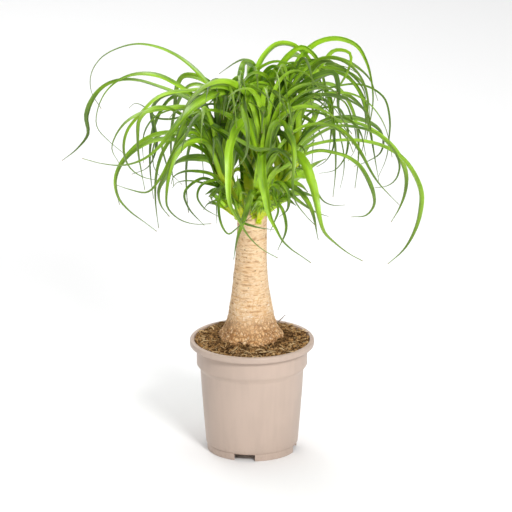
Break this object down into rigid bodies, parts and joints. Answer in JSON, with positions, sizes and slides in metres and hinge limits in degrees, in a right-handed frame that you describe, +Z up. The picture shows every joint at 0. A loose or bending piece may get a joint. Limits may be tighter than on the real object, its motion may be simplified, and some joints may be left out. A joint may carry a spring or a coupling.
{
  "type": "potted ponytail palm",
  "caption": "Ponytail palm in a round nursery pot of soil: a tapering trunk with a swollen foot, short shoots round its top, and long strap leaves that arch out and hang.",
  "frame": {"origin": "middle of the pot's underside, on the surface that it stands on", "axes": "+Z up the pot's axis, +X to the plant's right as seen from the front, -Y towards the front"},
  "size_m": [0.4912, 0.4132, 0.5965],
  "materials": {
    "pot": "smooth moulded plastic with a soft sheen",
    "soil": "coarse peat and coir, dry and loose on top",
    "trunk": "corky bark with fine rings and cracks",
    "shoot": "pale sheathing leaf bases",
    "leaf": "smooth waxy leaf with fine veins along it"
  },
  "bodies": {
    "root": {"back_leaf_01": "leaf", "back_leaf_02": "leaf", "back_leaf_03": "leaf", "back_leaf_04": "leaf", "back_leaf_05": "leaf", "back_leaf_06": "leaf", "back_leaf_07": "leaf", "back_leaf_08": "leaf", "back_leaf_09": "leaf", "back_leaf_10": "leaf", "back_leaf_11": "leaf", "back_leaf_12": "leaf", "back_leaf_13": "leaf", "back_leaf_14": "leaf", "back_leaf_15": "leaf", "back_shoot": "shoot", "front_leaf_01": "leaf", "front_leaf_02": "leaf", "front_leaf_03": "leaf", "front_leaf_04": "leaf", "front_leaf_05": "leaf", "front_leaf_06": "leaf", "front_leaf_07": "leaf", "front_leaf_08": "leaf", "front_leaf_09": "leaf", "front_shoot": "shoot", "left_leaf_01": "leaf", "left_leaf_02": "leaf", "left_leaf_03": "leaf", "left_leaf_04": "leaf", "left_leaf_05": "leaf", "left_leaf_06": "leaf", "left_leaf_07": "leaf", "left_leaf_08": "leaf", "left_leaf_09": "leaf", "left_leaf_10": "leaf", "left_leaf_11": "leaf", "left_leaf_12": "leaf", "left_leaf_13": "leaf", "left_leaf_14": "leaf", "left_leaf_15": "leaf", "left_leaf_16": "leaf", "left_shoot": "shoot", "pot": "pot", "right_leaf_01": "leaf", "right_leaf_02": "leaf", "right_leaf_03": "leaf", "right_leaf_04": "leaf", "right_leaf_05": "leaf", "right_leaf_06": "leaf", "right_leaf_07": "leaf", "right_leaf_08": "leaf", "right_leaf_09": "leaf", "right_leaf_10": "leaf", "right_leaf_11": "leaf", "right_leaf_12": "leaf", "right_leaf_13": "leaf", "right_shoot": "shoot", "soil": "soil", "trunk": "trunk"}
  },
  "joints": []
}
